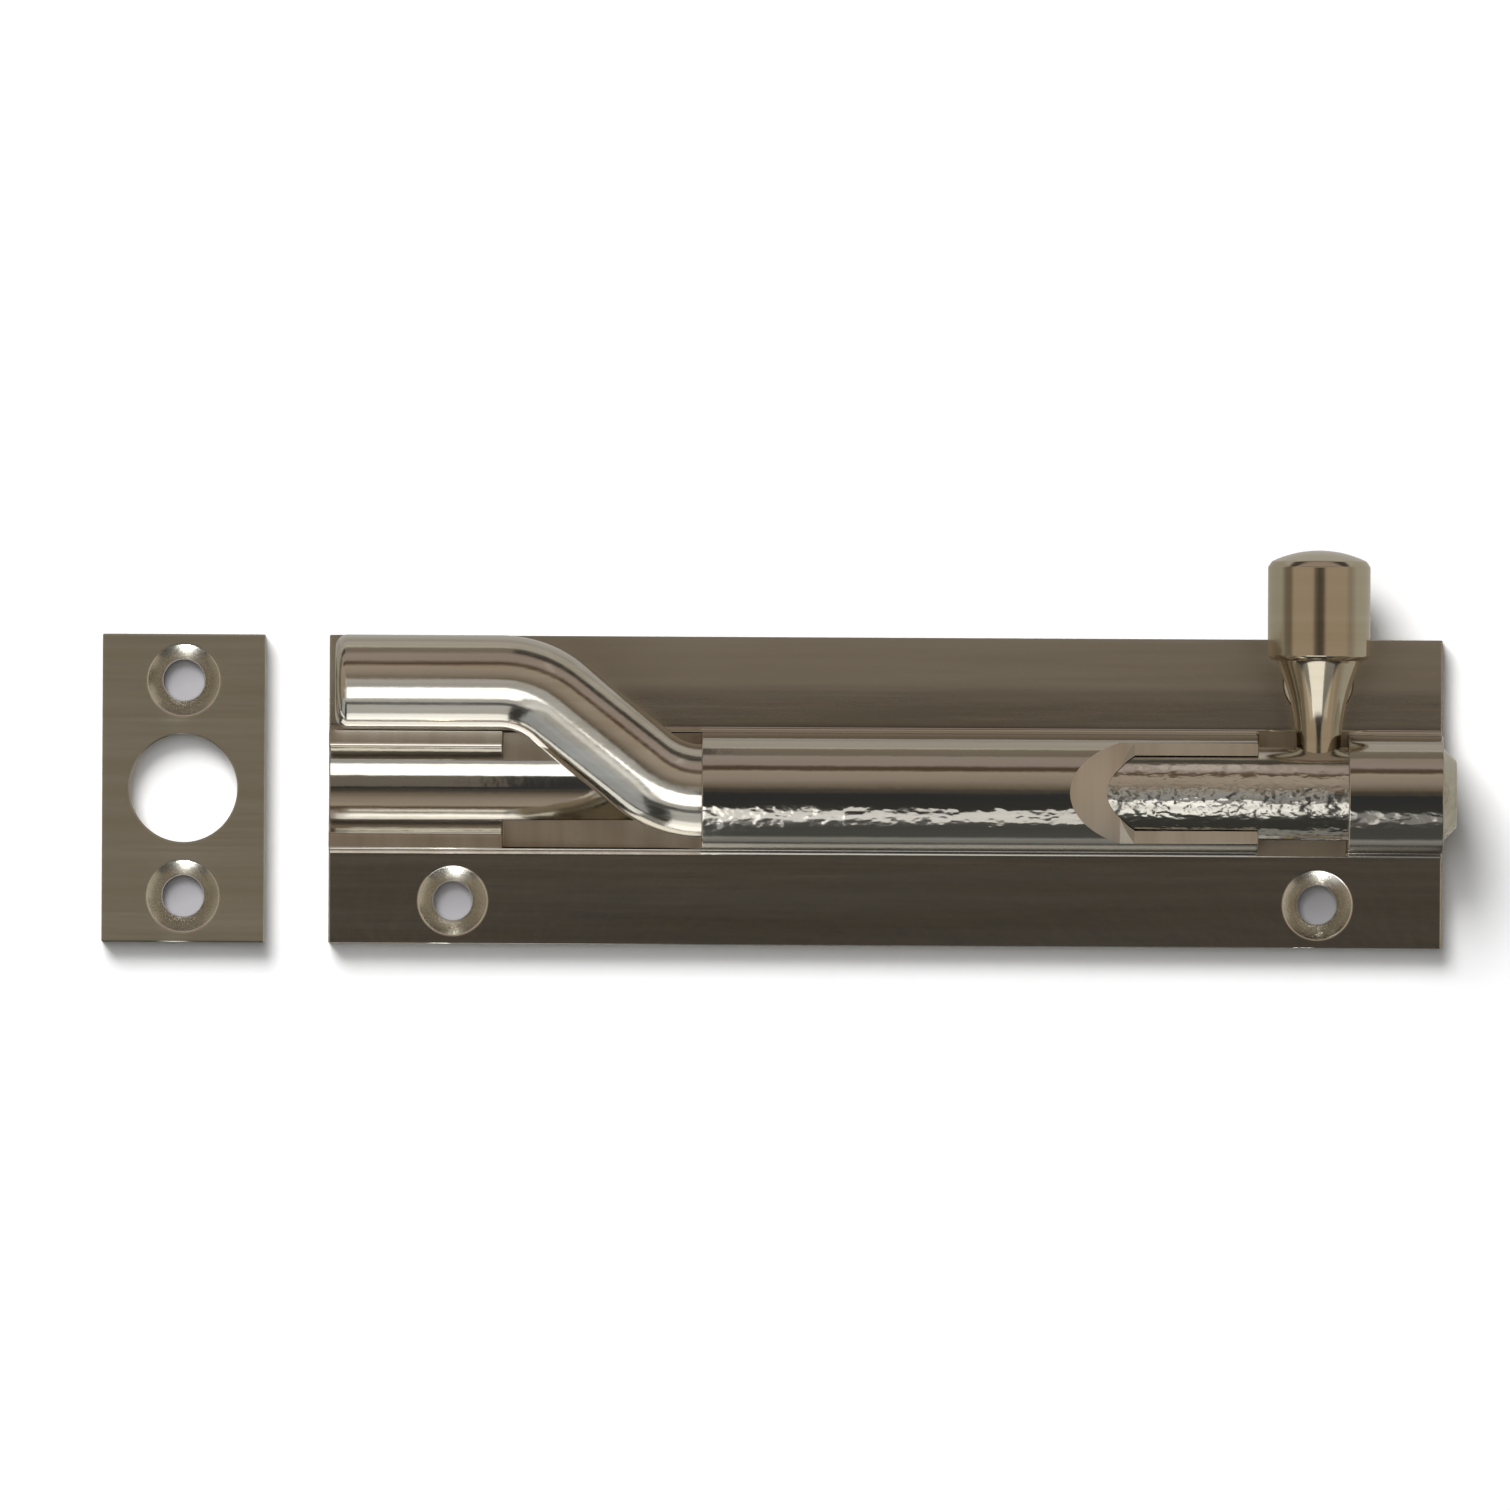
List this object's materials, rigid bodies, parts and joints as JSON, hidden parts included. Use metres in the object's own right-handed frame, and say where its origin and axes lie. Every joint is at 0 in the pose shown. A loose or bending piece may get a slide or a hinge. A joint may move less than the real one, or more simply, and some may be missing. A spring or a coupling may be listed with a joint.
{
  "type": "swan neck door bolt",
  "caption": "Straight barrel bolt with a cranked, swan-necked nose and a turned knob, on an extruded screw-on plate, with its separate flat keep.",
  "frame": {"origin": "centre of the base plate's four screw holes, on the plate's back face", "axes": "+X along the barrel towards the end with the knob, +Y across the plate, +Z out of the door"},
  "size_m": [0.1216, 0.0356, 0.0127],
  "materials": {
    "plated_extrusion": "satin nickel plate, drawn",
    "plated_rod": "bright nickel plate, lightly pitted",
    "plated_knob": "bright nickel plate, turned",
    "spring_steel": "oiled spring steel",
    "plated_keep": "satin nickel plate"
  },
  "bodies": {
    "base": {"barrel_plate": "plated_extrusion", "keep_plate": "plated_keep"},
    "drag": {"friction_ring": "spring_steel"},
    "shoot": {"swan_neck_bolt": "plated_rod", "knob": "plated_knob"}
  },
  "joints": [
    {"name": "bolt_slide", "type": "slide", "parent": "base", "child": "drag", "axis": [1, 0, 0], "range_m": [-0.0028, 0.0005]},
    {"name": "bolt_turn", "type": "hinge", "parent": "drag", "child": "shoot", "pos_m": [0, 0, 0.0075], "axis": [1, 0, 0], "range_deg": [0, 180]}
  ]
}
